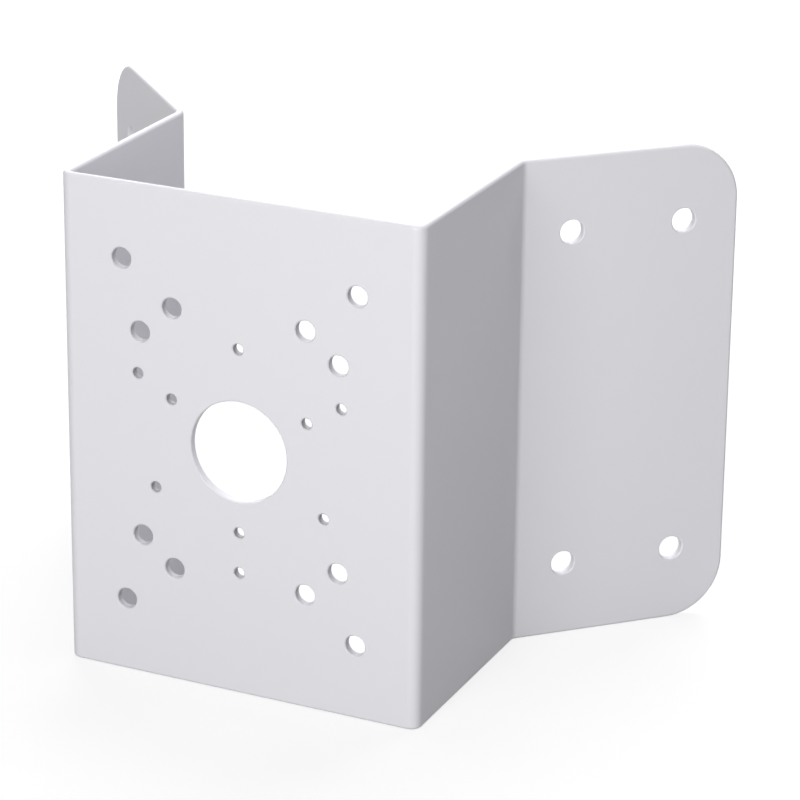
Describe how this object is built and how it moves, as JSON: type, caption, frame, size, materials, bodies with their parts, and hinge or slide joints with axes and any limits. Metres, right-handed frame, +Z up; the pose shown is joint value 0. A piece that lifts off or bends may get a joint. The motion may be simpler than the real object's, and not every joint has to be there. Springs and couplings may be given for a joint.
{
  "type": "camera corner bracket",
  "caption": "Folded sheet-metal bracket that carries a security camera on the outside corner of a building.",
  "frame": {"origin": "centre of the cable hole on the plate's camera face", "axes": "+Z up along the folds, -Y out of the camera face, +X to the right of someone who looks at that face"},
  "size_m": [0.236, 0.134, 0.17],
  "materials": {
    "white_coat": "satin powder coat"
  },
  "bodies": {
    "root": {"corner_bracket": "white_coat"}
  },
  "joints": []
}
